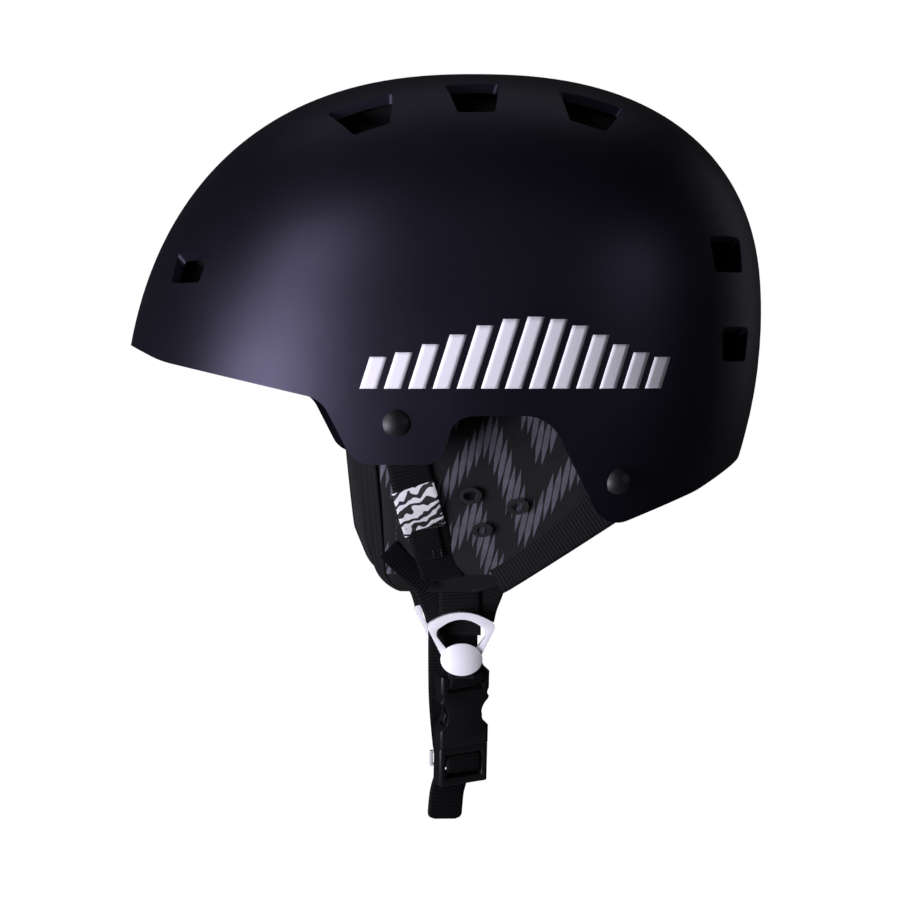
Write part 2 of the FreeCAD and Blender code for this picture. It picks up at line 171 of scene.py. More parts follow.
class Finish:
    """A procedural material and short ways to add nodes to it."""

    def __init__(self, name, roughness, specular=0.5, sheen=0.0, coat=0.0):
        self.mat = bpy.data.materials.new(name)
        self.mat.use_nodes = True
        self.tree = self.mat.node_tree
        self.bsdf = self.tree.nodes["Principled BSDF"]
        self.bsdf.inputs["Roughness"].default_value = roughness
        self.bsdf.inputs["Specular IOR Level"].default_value = specular
        self.bsdf.inputs["Sheen Weight"].default_value = sheen
        self.bsdf.inputs["Sheen Roughness"].default_value = 0.4
        self.bsdf.inputs["Coat Weight"].default_value = coat

    def add(self, kind, **values):
        node = self.tree.nodes.new(kind)
        for key, value in values.items():
            feed(self.tree, node.inputs[key.replace("_", " ")], value)
        return node

    def calc(self, operation, a, b=0.0, c=0.0):
        return math_node(self.tree, operation, a, b, c)

    def coords(self, output="Object"):
        return self.tree.nodes.new("ShaderNodeTexCoord").outputs[output]

    def split(self, vector):
        return self.add("ShaderNodeSeparateXYZ", Vector=vector).outputs

    def blend(self, factor, low, high):
        node = self.tree.nodes.new("ShaderNodeMix")
        node.data_type = "RGBA"
        feed(self.tree, node.inputs[0], factor)
        for socket, color in ((node.inputs[6], low), (node.inputs[7], high)):
            socket.default_value = (*color, 1.0)
        return node.outputs[2]

    def group(self, tree, **values):
        node = self.tree.nodes.new("ShaderNodeGroup")
        node.node_tree = tree
        for key, value in values.items():
            feed(self.tree, node.inputs[key], value)
        return node.outputs

    def close(self, color=None, height=None, depth=0.0001, rough=None):
        if color is not None:
            feed(self.tree, self.bsdf.inputs["Base Color"], color)
        if rough is not None:
            feed(self.tree, self.bsdf.inputs["Roughness"], rough)
        if height is not None:
            bump = self.add("ShaderNodeBump", Strength=1.0, Distance=depth, Height=height)
            feed(self.tree, self.bsdf.inputs["Normal"], bump.outputs[0])
        return self.mat


def new_group(name, inputs, outputs):
    """A shader node group with its sockets, ready to be filled."""
    tree = bpy.data.node_groups.new(name, "ShaderNodeTree")
    for label, kind, value in inputs:
        socket = tree.interface.new_socket(label, in_out="INPUT", socket_type=kind)
        if value is not None:
            socket.default_value = value
    for label in outputs:
        tree.interface.new_socket(label, in_out="OUTPUT", socket_type="NodeSocketFloat")
    return tree, tree.nodes.new("NodeGroupInput"), tree.nodes.new("NodeGroupOutput")


# pitches in metres; scales in cells per metre
DRIFT_SCALE, SLUB_SCALE = 18.0, 260.0
RIB_PITCH, YARN_PITCH = 0.0016, 0.0007
PRINT_PITCH, PRINT_FOLD, PRINT_REPEAT = 0.0028, 0.024, 0.036
PRINT_DARK, PRINT_LIGHT = (0.0022, 0.002, 0.003), (0.1, 0.094, 0.122)


def grain_group():
    """Fine moulded grain with a slow drift of tone."""
    inputs = [("Vector", "NodeSocketVector", None), ("Scale", "NodeSocketFloat", 2500.0)]
    tree, inp, out = new_group("Moulded grain", inputs, ("Height", "Tone"))
    at = inp.outputs["Vector"]
    tree.links.new(noise_node(tree, at, inp.outputs["Scale"], 3.0), out.inputs["Height"])
    tree.links.new(noise_node(tree, at, DRIFT_SCALE, 4.0), out.inputs["Tone"])
    return tree


def rib_group():
    """Woven ribs across a strap, from its own length and width in metres."""
    inputs = [("UV", "NodeSocketVector", None), ("Pitch", "NodeSocketFloat", RIB_PITCH)]
    tree, inp, out = new_group("Woven ribs", inputs, ("Height", "Thread"))
    parts = tree.nodes.new("ShaderNodeSeparateXYZ")
    tree.links.new(inp.outputs["UV"], parts.inputs[0])
    turns = math_node(tree, "DIVIDE", parts.outputs[0], inp.outputs["Pitch"])
    rib = math_node(tree, "ABSOLUTE", math_node(tree, "SINE", math_node(tree, "MULTIPLY", turns, math.pi)))
    yarn = math_node(tree, "SINE", math_node(tree, "MULTIPLY", parts.outputs[1], math.tau / YARN_PITCH))
    height = math_node(tree, "ADD", rib, math_node(tree, "MULTIPLY", yarn, 0.12))
    tree.links.new(height, out.inputs["Height"])
    tree.links.new(yarn, out.inputs["Thread"])
    return tree


def weave_group():
    """A fine plain weave on the piece's own coordinates."""
    inputs = [("Vector", "NodeSocketVector", None), ("Pitch", "NodeSocketFloat", YARN_PITCH)]
    tree, inp, out = new_group("Plain weave", inputs, ("Height", "Slub"))
    parts = tree.nodes.new("ShaderNodeSeparateXYZ")
    tree.links.new(inp.outputs["Vector"], parts.inputs[0])
    waves = []
    for axis in (1, 2):
        turns = math_node(tree, "DIVIDE", parts.outputs[axis], inp.outputs["Pitch"])
        waves.append(math_node(tree, "SINE", math_node(tree, "MULTIPLY", turns, math.tau)))
    tree.links.new(math_node(tree, "MULTIPLY", waves[0], waves[1]), out.inputs["Height"])
    tree.links.new(noise_node(tree, inp.outputs["Vector"], SLUB_SCALE), out.inputs["Slub"])
    return tree


GRAIN, RIBS, WEAVE = grain_group(), rib_group(), weave_group()


def moulded(name, dark, light, roughness, scale, depth, specular=0.5, coat=0.0):
    """Moulded plastic or foam: two close tones and a fine grain."""
    f = Finish(name, roughness, specular, coat=coat)
    at = f.coords()
    grain = f.group(GRAIN, Vector=at, Scale=scale)
    rough = f.calc("MULTIPLY_ADD", grain["Tone"], 0.14, roughness - 0.07)
    return f.close(f.blend(grain["Tone"], dark, light), grain["Height"], depth, rough)


def cloth(name, dark, light, pitch, depth, sheen):
    """Plain woven cloth with uneven yarns, a little darker in the weave's hollows as painted shade."""
    f = Finish(name, 0.85, 0.25, sheen)
    weave = f.group(WEAVE, Vector=f.coords(), Pitch=pitch)
    # colour follows the weave's height, so the hollows between yarns are darker: painted shade; the slub
    # noise is the yarns' own uneven tone
    hollow_shade_and_yarn_tone = f.calc("MULTIPLY_ADD", weave["Height"], 0.2, weave["Slub"])
    return f.close(f.blend(hollow_shade_and_yarn_tone, dark, light), weave["Height"], depth)


def webbing(name, dark, light):
    """Woven strap with ribs across it, darker in the grooves between ribs as painted shade."""
    f = Finish(name, 0.7, 0.12)
    ribs = f.group(RIBS, UV=f.coords("UV"), Pitch=RIB_PITCH)
    # colour follows the rib height, so the grooves between ribs are darker: painted shade; the thread term
    # adds stripes along the yarns
    hollow_shade_and_yarn_tone = f.calc("MULTIPLY_ADD", ribs["Thread"], 0.15, f.calc("MULTIPLY", ribs["Height"], 0.8))
    return f.close(f.blend(hollow_shade_and_yarn_tone, dark, light), ribs["Height"], 0.00022)


def spiky_print():
    """Leaning spikes of lilac grey, gathered in zigzag bands on near black."""
    f = Finish("Zigzag cover", 0.8, 0.3, 0.2)
    at = f.coords()
    _, y, z = f.split(at)
    across = f.calc("DIVIDE", f.calc("MULTIPLY_ADD", z, -0.17, y), PRINT_PITCH)
    column = f.calc("FLOOR", across)
    part = f.calc("SUBTRACT", across, column)
    tip = f.calc("SUBTRACT", 1.0, f.calc("ABSOLUTE", f.calc("MULTIPLY_ADD", part, 2.0, -1.0)))
    place = f.calc("MULTIPLY_ADD", column, PRINT_PITCH, 0.014)
    fold = f.calc("PINGPONG", place, PRINT_FOLD)
    jitter = f.calc("MULTIPLY", f.calc("FRACT", f.calc("MULTIPLY", f.calc("SINE", column), 43.7)), 0.004)
    run = f.calc("DIVIDE", f.calc("MULTIPLY_ADD", fold, 1.7, f.calc("ADD", z, jitter)), PRINT_REPEAT)
    centred = f.calc("ABSOLUTE", f.calc("SUBTRACT", f.calc("FRACT", run), 0.5))
    edge = f.calc("MULTIPLY_ADD", tip, 0.24, 0.07)
    band = f.calc("MULTIPLY", f.calc("SUBTRACT", edge, centred), 40.0)
    band.node.use_clamp = True
    gap = f.calc("MULTIPLY", f.calc("SUBTRACT", tip, 0.12), 9.0)
    gap.node.use_clamp = True
    mask = f.calc("MULTIPLY", band, gap)
    weave = f.group(WEAVE, Vector=at, Pitch=0.0008)
    lit = f.calc("MULTIPLY", mask, f.calc("MULTIPLY_ADD", weave["Slub"], 0.7, 0.5))
    return f.close(f.blend(lit, PRINT_DARK, PRINT_LIGHT), weave["Height"], 0.00007)


def zebra():
    """Wavy black and white stripes across a ribbon."""
    f = Finish("Zebra ribbon", 0.6, 0.4)
    u, v, _ = f.split(f.coords("UV"))
    drift = f.add("ShaderNodeTexNoise", Vector=f.coords("UV"), Scale=170.0, Detail=1.0).outputs[0]
    sway = f.calc("MULTIPLY_ADD", drift, 13.0, f.calc("MULTIPLY", v, 360.0))
    phase = f.calc("MULTIPLY_ADD", u, 1300.0, sway)
    mask = f.calc("MULTIPLY_ADD", f.calc("SINE", phase), 6.0, 0.9)
    mask.node.use_clamp = True
    weave = f.group(WEAVE, Vector=f.coords(), Pitch=0.0006)
    return f.close(f.blend(mask, (0.012, 0.012, 0.014), (0.78, 0.78, 0.8)), weave["Height"], 0.00006)


def milky():
    """Half clear, milky plastic."""
    f = Finish("Milky ring", 0.4, 0.5)
    grain = f.group(GRAIN, Vector=f.coords(), Scale=900.0)
    f.bsdf.inputs["Transmission Weight"].default_value = 0.25
    return f.close(f.blend(grain["Tone"], (0.42, 0.44, 0.47), (0.6, 0.62, 0.65)), grain["Height"], 0.00003)


# name, dark tone, light tone, roughness, grain per metre, grain depth in metres, specular, coat
MOULDED = {
    "plastic": ("Black nylon", (0.0028, 0.0028, 0.0034), (0.005, 0.005, 0.006), 0.36, 1800.0, 0.00003, 0.35),
    "rivet": ("Rivet nylon", (0.003, 0.003, 0.0035), (0.006, 0.006, 0.007), 0.45, 2600.0, 0.00003, 0.4),
    "foam": ("Impact foam", (0.01, 0.01, 0.011), (0.022, 0.022, 0.024), 0.9, 700.0, 0.0003, 0.2),
    "white": ("White acetal", (0.74, 0.75, 0.78), (0.82, 0.83, 0.86), 0.3, 900.0, 0.00001, 0.5, 0.2),
    "graphic": ("White graphic", (0.72, 0.71, 0.77), (0.84, 0.83, 0.88), 0.5, 2600.0, 0.000012),
    "eyelet": ("Eyelet rubber", (0.003, 0.003, 0.0035), (0.006, 0.006, 0.0065), 0.55, 1500.0, 0.00003),
}
# name, dark tone, light tone, yarn pitch and weave depth in metres, sheen
CLOTHS = {
    "lining": ("Brushed lining", (0.004, 0.004, 0.005), (0.01, 0.01, 0.0115), 0.0011, 0.00015, 0.5),
    "neoprene": ("Neoprene", (0.0014, 0.0014, 0.0018), (0.004, 0.004, 0.0048), 0.0006, 0.00004, 0.03),
    "thread": ("Thread", (0.02, 0.02, 0.022), (0.05, 0.05, 0.055), 0.0004, 0.00004, 0.3),
    "pale_thread": ("Pale thread", (0.45, 0.45, 0.47), (0.7, 0.7, 0.72), 0.0004, 0.00004, 0.3),
}
SHELL_SPECK, SHELL_SPECULAR, SHELL_TINT = 1.5, 0.52, (0.7, 0.67, 1.0, 1.0)
M = {}


def make_materials(style):
    """Fills M with every finish, by its short key."""
    black = tuple(style.shell_color)
    speck = tuple(c * SHELL_SPECK for c in black)
    shell = moulded("Matt shell", black, speck, style.shell_roughness, 3200.0, 0.000018, SHELL_SPECULAR)
    shell.node_tree.nodes["Principled BSDF"].inputs["Specular Tint"].default_value = SHELL_TINT
    M["shell"] = shell
    M.update({key: moulded(*values) for key, values in MOULDED.items()})
    M.update({key: cloth(*values) for key, values in CLOTHS.items()})
    M["webbing"] = webbing("Ribbed webbing", (0.0012, 0.0012, 0.0015), (0.0055, 0.0055, 0.007))
    M["print"] = spiky_print()
    M["zebra"] = zebra()
    M["milky"] = milky()


# ---- mesh helpers ----
def linked(name, data):
    """A new object in the scene."""
    obj = bpy.data.objects.new(name, data)
    bpy.context.scene.collection.objects.link(obj)
    return obj


def shade_smooth(mesh):
    mesh.polygons.foreach_set("use_smooth", [True] * len(mesh.polygons))


def repaint(node, key):
    """Gives a frame node one of the finishes."""
    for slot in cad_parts[node].material_slots:
        slot.material = M[key]


def mesh_object(name, verts, faces, materials, uvs=None):
    """A smooth-shaded mesh from points in mm and, if given, UVs in metres."""
    mesh = bpy.data.meshes.new(name)
    mesh.from_pydata([tuple(Vector(v) * MM) for v in verts], [], faces)
    for material in materials:
        mesh.materials.append(material)
    if uvs is not None:
        layer = mesh.uv_layers.new(name="UVMap")
        for loop in mesh.loops:
            layer.data[loop.index].uv = uvs[loop.vertex_index]
    shade_smooth(mesh)
    return linked(name, mesh)


WELD = 0.00002


def apply_modifiers(obj):
    graph = bpy.context.evaluated_depsgraph_get()
    mesh = bpy.data.meshes.new_from_object(obj.evaluated_get(graph))
    obj.modifiers.clear()
    obj.data = mesh


def merged_copy(name, node):
    """A welded copy of a frame node's mesh, as a new piece."""
    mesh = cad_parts[node].data.copy()
    obj = linked(name, mesh)
    work = bmesh.new()
    work.from_mesh(mesh)
    bmesh.ops.remove_doubles(work, verts=work.verts, dist=WELD)
    work.to_mesh(mesh)
    work.free()
    return obj


def softened(node, body, material, width):
    """A frame node with its moulded edges rounded."""
    obj = merged_copy(node + "_finished", node)
    work = bmesh.new()
    work.from_mesh(obj.data)
    bmesh.ops.dissolve_limit(work, angle_limit=math.radians(1.0), verts=work.verts, edges=work.edges)
    work.to_mesh(obj.data)
    work.free()
    bevel = obj.modifiers.new("Round", "BEVEL")
    bevel.width = width
    bevel.segments = 3
    bevel.limit_method = "ANGLE"
    bevel.angle_limit = math.radians(32)
    apply_modifiers(obj)
    obj.data.materials.clear()
    obj.data.materials.append(material)
    shade_smooth(obj.data)
    obj.data.set_sharp_from_angle(angle=math.radians(40))
    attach(obj, body)
    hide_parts(node)
    return obj


def dark_below(obj, level, material):
    """A second finish for everything under a level, mm."""
    obj.data.materials.append(material)
    for face in obj.data.polygons:
        if face.center.z < level * MM:
            face.material_index = 1


# once round the webbing's section, as shares of its width and thickness
WEB_SECTION = [(-0.5, 0), (-0.47, 0.42), (-0.4, 0.5), (0.0, 0.46), (0.4, 0.5), (0.47, 0.42),
               (0.5, 0), (0.47, -0.42), (0.4, -0.5), (0.0, -0.46), (-0.4, -0.5), (-0.47, -0.42)]


def ribbon(name, path, side_dirs, width, thick, material, tip=0.0):
    """Flat webbing along a path, mm; a tip rounds the corners at its end."""
    verts, faces, uvs = [], [], []
    run = 0.0
    for i, p in enumerate(path):
        tangent = (path[min(i + 1, len(path) - 1)] - path[max(i - 1, 0)]).normalized()
        side = side_dirs[i] - tangent * side_dirs[i].dot(tangent)
        side.normalize()
        up = side.cross(tangent)
        if i:
            run += (p - path[i - 1]).length
        to_end = (path[-1] - p).length
        short = max(0.0, tip - to_end)
        here = width - 2 * (tip - math.sqrt(max(0.0, tip ** 2 - short ** 2)))
        for a, b in WEB_SECTION:
            verts.append(p + side * a * here + up * b * thick)
            uvs.append((run * MM, a * here * MM))
    n = len(WEB_SECTION)
    for i in range(len(path) - 1):
        for k in range(n):
            j = (k + 1) % n
            faces.append((i * n + k, i * n + j, (i + 1) * n + j, (i + 1) * n + k))
    faces.append(tuple(reversed(range(n))))
    faces.append(tuple((len(path) - 1) * n + k for k in range(n)))
    obj = mesh_object(name, verts, faces, [material], uvs)
    fix_normals(obj)
    obj.data.set_sharp_from_angle(angle=math.radians(50))
    return obj


def fix_normals(obj):
    work = bmesh.new()
    work.from_mesh(obj.data)
    bmesh.ops.recalc_face_normals(work, faces=work.faces)
    work.to_mesh(obj.data)
    work.free()


def mirrored(points):
    """The same points on the other side of the helmet."""
    return [Vector((-p.x, p.y, p.z)) for p in points]


def stitch_tree():
    """Geometry Nodes: a stitch every pitch along an edge line."""
    tree = bpy.data.node_groups.new("Stitch run", "GeometryNodeTree")
    face = tree.interface
    face.new_socket("Line", in_out="INPUT", socket_type="NodeSocketGeometry")
    for label, value in (("Pitch", 0.003), ("Stitch length", 0.0021), ("Thread radius", 0.0003)):
        face.new_socket(label, in_out="INPUT", socket_type="NodeSocketFloat").default_value = value
    face.new_socket("Thread", in_out="INPUT", socket_type="NodeSocketMaterial")
    face.new_socket("Stitches", in_out="OUTPUT", socket_type="NodeSocketGeometry")
    kinds = ("NodeGroupInput", "GeometryNodeMeshToCurve", "GeometryNodeResampleCurve",
             "GeometryNodeInputTangent", "FunctionNodeAlignRotationToVector", "GeometryNodeMeshIcoSphere",
             "ShaderNodeCombineXYZ", "GeometryNodeInstanceOnPoints", "GeometryNodeRealizeInstances",
             "GeometryNodeSetMaterial", "NodeGroupOutput")
    nodes = [tree.nodes.new(kind) for kind in kinds]
    inp, curve, resample, tangent, align, ball, size, instance, real, paint, out = nodes
    resample.mode = "LENGTH"
    ball.inputs["Radius"].default_value = 1.0
    ball.inputs["Subdivisions"].default_value = 2
    join = tree.links.new
    join(inp.outputs["Line"], curve.inputs[0])
    join(curve.outputs[0], resample.inputs["Curve"])
    join(inp.outputs["Pitch"], resample.inputs["Length"])
    join(tangent.outputs[0], align.inputs["Vector"])
    align.axis = "Z"
    join(inp.outputs["Thread radius"], size.inputs[0])
    join(inp.outputs["Thread radius"], size.inputs[1])
    join(math_node(tree, "MULTIPLY", inp.outputs["Stitch length"], 0.5), size.inputs[2])
    join(resample.outputs[0], instance.inputs["Points"])
    join(ball.outputs["Mesh"], instance.inputs["Instance"])
    join(align.outputs[0], instance.inputs["Rotation"])
    join(size.outputs[0], instance.inputs["Scale"])
    join(instance.outputs[0], real.inputs[0])
    join(real.outputs[0], paint.inputs["Geometry"])
    join(inp.outputs["Thread"], paint.inputs["Material"])
    join(paint.outputs[0], out.inputs[0])
    return tree


def stitches(name, lines, body, material, pitch=3.0, length=2.1, radius=0.28):
    """Stitches along open lines of points, mm, as one plain mesh."""
    tree = bpy.data.node_groups.get("Stitch run") or stitch_tree()
    verts, edges = [], []
    for line in lines:
        start = len(verts)
        verts += [tuple(Vector(p) * MM) for p in line]
        edges += [(start + i, start + i + 1) for i in range(len(line) - 1)]
    mesh = bpy.data.meshes.new(name)
    mesh.from_pydata(verts, edges, [])
    obj = linked(name, mesh)
    mod = obj.modifiers.new("Stitches", "NODES")
    mod.node_group = tree
    values = {"Pitch": pitch * MM, "Stitch length": length * MM, "Thread radius": radius * MM,
              "Thread": material}
    for item in tree.interface.items_tree:
        if item.in_out == "INPUT" and item.name in values:
            mod[item.identifier] = values[item.name]
    apply_modifiers(obj)
    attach(obj, body)
    return obj


CLOTH_FRAMES = 16


def puff(obj, pressure, cap, held):
    """Swells a closed mesh as stuffed cloth; held verts stay, none moves past cap metres."""
    before = [v.co.copy() for v in obj.data.vertices]
    group = obj.vertex_groups.new(name="held")
    group.add(held, 1.0, "REPLACE")
    mod = obj.modifiers.new("Cloth", "CLOTH")
    mod.settings.use_pressure = True
    mod.settings.uniform_pressure_force = pressure
    mod.settings.effector_weights.gravity = 0.0
    mod.settings.vertex_group_mass = "held"
    mod.settings.quality = 5
    mod.point_cache.frame_start = 1
    mod.point_cache.frame_end = CLOTH_FRAMES
    scene = bpy.context.scene
    for number in range(1, CLOTH_FRAMES + 1):
        scene.frame_set(number)
    graph = bpy.context.evaluated_depsgraph_get()
    after = [v.co.copy() for v in obj.evaluated_get(graph).data.vertices]
    obj.modifiers.clear()
    scene.frame_set(1)
    for vert, a, b in zip(obj.data.vertices, before, after):
        move = b - a
        if move.length > cap:
            move *= cap / move.length
        vert.co = a + move


def subdivide(obj):
    """One round of smooth subdivision."""
    mod = obj.modifiers.new("Smooth", "SUBSURF")
    mod.levels = 1
    apply_modifiers(obj)


def tube(name, line, radius, material, body):
    """A round cord along a line, mm."""
    curve = bpy.data.curves.new(name, "CURVE")
    curve.dimensions = "3D"
    curve.bevel_depth = radius * MM
    curve.bevel_resolution = 3
    curve.use_fill_caps = True
    spline = curve.splines.new("POLY")
    spline.points.add(len(line) - 1)
    for point, p in zip(spline.points, line):
        point.co = (*(p * MM), 1)
    temp = linked(name + "_line", curve)
    graph = bpy.context.evaluated_depsgraph_get()
    mesh = bpy.data.meshes.new_from_object(temp.evaluated_get(graph))
    bpy.data.objects.remove(temp)
    obj = linked(name, mesh)
    mesh.materials.clear()
    mesh.materials.append(material)
    shade_smooth(mesh)
    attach(obj, body)


# ---- ear pads ----
PAD_TOP, PAD_BOTTOM, PAD_ROUND = 132.0, 227.0, 10.0
PAD_ROWS, PAD_COLS, PAD_WALLS = 56, 56, 9
PAD_LIFT, PAD_THICK, PAD_EDGE = 0.9, 10.5, 3.6
PAD_HELD_TO, HOLE_SINK = 138.0, 4.5


def pad_limits(depth, roll=0.0):
    """Front and rear y of the ear pad at a depth; the roll stands ahead of the cover."""
    front = -39 + 10 * (depth - PAD_TOP) / (PAD_BOTTOM - PAD_TOP)
    front -= roll * min(1.0, (PAD_BOTTOM - depth) / 22)
    rear = 62.0
    if depth > 197.5:
        rear -= 43 * (depth - 197.5) / 29.5
    low = depth - (PAD_BOTTOM - PAD_ROUND)
    if low > 0:
        pull = PAD_ROUND - math.sqrt(max(0.0, PAD_ROUND ** 2 - low ** 2))
        front += pull
        rear -= pull
    return front, rear


def pad_spot(u, depth, inset, roll=0.0):
    """A point of the left ear pad, u from front to rear, inset from its outer face."""
    front, rear = pad_limits(depth, roll)
    return Vector((pad_x(depth) - inset, front + (rear - front) * u, CROWN_Z - depth))


def hole_reach(y, depth, grow=0.0):
    """How far a spot lies from the nearest ear hole's middle; under 1 is inside the hole."""
    return min(math.hypot((y - hole_y) / (half_y + grow), (depth - hole_depth) / (half_z + grow))
               for hole_y, hole_depth, half_y, half_z in EAR_HOLES)


def pad_layers(sign, verts):
    """The outer and inner faces of a pad as grids of vertex numbers; adds to verts."""
    layers = []
    for back in (0, 1):
        grid = []
        for r in range(PAD_ROWS + 1):
            depth = PAD_TOP + (PAD_BOTTOM - 0.4 - PAD_TOP) * (1 - (1 - r / PAD_ROWS) ** 1.25)
            line = []
            for c in range(PAD_COLS + 1):
                u = c / PAD_COLS
                near = min(min(u, 1 - u) * 80, (PAD_BOTTOM - depth) * 1.1, 9.0) / 9.0
                round_in = PAD_EDGE * (1 - math.sqrt(max(0.0, 1 - (1 - near) ** 2)))
                if back:
                    p = pad_spot(u, depth, PAD_LIFT + PAD_THICK - round_in * 0.9, CHEEK_ROLL)
                else:
                    p = pad_spot(u, depth, PAD_LIFT + round_in)
                line.append(len(verts))
                verts.append(Vector((p.x * sign, p.y, p.z)))
            grid.append(line)
        layers.append(grid)
    return layers


def sink_ear_holes(pad, sign):
    """Keeps a pad under its own face and presses the ear holes in."""
    for v in pad.data.vertices:
        depth = CROWN_Z - v.co.z / MM
        limit = (pad_x(depth) - 0.1) * MM
        if abs(v.co.x) > limit:
            v.co.x = math.copysign(limit, v.co.x)
        reach = hole_reach(v.co.y / MM, depth)
        if reach < 1.0 and abs(v.co.x) / MM > pad_x(depth) - 6:
            v.co.x -= sign * HOLE_SINK * MM * (1 - reach ** 4)


def trim_ear_pad(side, sign):
    """The cord round a pad's edge and the seams on its face."""
    border = [pad_spot(0, d, 3.0) for d in range(140, 217, 3)]
    border += [pad_spot(0, 217 + 9.5 * math.sin(a * math.pi / 16), 3.0) for a in range(0, 8)]
    border += [pad_spot(c / 14, PAD_BOTTOM - 0.5, 4.0) for c in range(1, 14)]
    border += [pad_spot(1, 227 - 10 * (1 - math.cos(a * math.pi / 16)), 3.0) for a in range(0, 8)]
    border += [pad_spot(1, d, 3.0) for d in range(217, 150, -3)]
    line = [Vector((p.x * sign, p.y, p.z)) for p in border]
    tube(f"ear_pad_binding_{side}", line, 1.0, M["neoprene"], "root")
    seam = [pad_spot(u / 40, PRINT_END, 0.5) for u in range(2, 39)]
    front_seam = [pad_spot(0.075, d, 0.75) for d in range(150, 217, 3)]
    lines = [[Vector((p.x * sign, p.y, p.z)) for p in row] for row in (seam, front_seam)]
    stitches(f"ear_pad_stitching_{side}", lines, "root", M["thread"])


def build_ear_pad(side):
    """One stuffed ear pad: printed face, plain foot, lining, ear holes and trim."""
    sign = 1 if side == "left" else -1
    rows, cols = PAD_ROWS, PAD_COLS
    verts, faces, zone = [], [], []
    layers = pad_layers(sign, verts)
    for back, grid in enumerate(layers):
        for r in range(rows):
            for c in range(cols):
                faces.append((grid[r][c], grid[r][c + 1], grid[r + 1][c + 1], grid[r + 1][c]))
                depth = CROWN_Z - verts[grid[r][c]].z
                zone.append(2 if back else (1 if depth > PRINT_END else 0))
    rim = [(0, c) for c in range(cols)] + [(r, cols) for r in range(rows)]
    rim += [(rows, c) for c in range(cols, 0, -1)] + [(r, 0) for r in range(rows, 0, -1)]
    middle = verts[layers[0][rows // 2][cols // 2]]
    wall = [[layers[0][r][c] for r, c in rim]]
    for k in range(1, PAD_WALLS):
        t = k / PAD_WALLS
        ring = []
        for r, c in rim:
            a, b = verts[layers[0][r][c]], verts[layers[1][r][c]]
            out = a - (middle + a) / 2
            out.x = 0
            swell = 1.5 * abs(math.sin(3 * math.pi * t)) if r > 2 else 0.0
            ring.append(len(verts))
            verts.append(a.lerp(b, t) + out.normalized() * swell)
        wall.append(ring)
    wall.append([layers[1][r][c] for r, c in rim])
    for low, high in zip(wall, wall[1:]):
        for i in range(len(rim)):
            n = (i + 1) % len(rim)
            faces.append((low[i], low[n], high[n], high[i]))
            zone.append(1)
    pad = mesh_object("ear_pad_" + side, verts, faces, [M["print"], M["neoprene"], M["lining"]])
    pad.data.polygons.foreach_set("material_index", zone)
    fix_normals(pad)
    held = [i for i, v in enumerate(verts)
            if CROWN_Z - v.z < PAD_HELD_TO or hole_reach(v.y, CROWN_Z - v.z, 1.8) < 1]
    puff(pad, 3.0, 1.4 * MM, held)
    sink_ear_holes(pad, sign)
    subdivide(pad)
    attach(pad, "root")
    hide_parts("ear_pad_cover_" + side, "ear_pad_foam_" + side,
                "ear_pad_lining_" + side, "ear_pad_hem_" + side)
    trim_ear_pad(side, sign)


# ---- comfort pads ----
FABRIC_INSET, FABRIC_HEM, FABRIC_REAR_HEM = 20.15, 112.0, 136.0
FABRIC_ROWS, FABRIC_AROUND = 32, 96


def build_vent_fabric():
    """The ribbed fabric behind the vents, between the liner and the comfort pads."""
    inset, rows, around = FABRIC_INSET, FABRIC_ROWS, FABRIC_AROUND
    top = inset + 0.6
    verts, uvs, faces = [Vector((0, CROWN_Y, CROWN_Z - inset))], [(inset * MM, 0)], []
    for r in range(rows):
        for k in range(around):
            c, s = math.cos(k * math.tau / around), math.sin(k * math.tau / around)
            deepest = FABRIC_HEM + (FABRIC_REAR_HEM - FABRIC_HEM) * max(0.0, s)
            depth = top + (deepest - top) * (r / (rows - 1)) ** 1.6
            front, back = shell_ends(depth, inset)
            half = quadrant(depth, SIDE_DROP, HALF_WIDTH, inset)
            x = half * math.copysign(abs(c) ** (2 / PLAN_POWER), c)
            y = (front + back) / 2 + (back - front) / 2 * math.copysign(abs(s) ** (2 / PLAN_POWER), s)
            verts.append(Vector((x, y, CROWN_Z - depth)))
            uvs.append((depth * MM, 0.0))
    for k in range(around):
        n = (k + 1) % around
        faces.append((0, 1 + k, 1 + n))
        for r in range(rows - 1):
            a = 1 + r * around
            faces.append((a + k, a + around + k, a + around + n, a + n))
    fabric = mesh_object("vent_fabric", verts, faces, [M["webbing"]], uvs)
    thick = fabric.modifiers.new("Thickness", "SOLIDIFY")
    thick.thickness = 0.0001
    apply_modifiers(fabric)
    fix_normals(fabric)
    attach(fabric, "root")


def build_comfort_pad(node):
    """A stuffed pad in place of the frame's plain one."""
    pad = merged_copy(node + "_soft", node)
    remesh = pad.modifiers.new("Even", "REMESH")
    remesh.mode = "VOXEL"
    remesh.voxel_size = 0.003
    apply_modifiers(pad)
    for v in pad.data.vertices:
        v.co -= v.normal * 0.0011
    puff(pad, 4.0, 1.6 * MM, [])
    pad.data.materials.clear()
    pad.data.materials.append(M["lining"])
    shade_smooth(pad.data)
    smooth = pad.modifiers.new("Relax", "SMOOTH")
    smooth.iterations = 4
    apply_modifiers(pad)
    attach(pad, "root")
    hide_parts(node)


# ---- harness ----
def face_path(points, lift):
    """A path over the left ear pad from (y, depth) points, lifted off it, mm."""
    dense = smooth_path([(0, y, d) for y, d in points], 14)
    return [Vector((pad_x(p.z) + lift, p.y, CROWN_Z - p.z)) for p in dense]


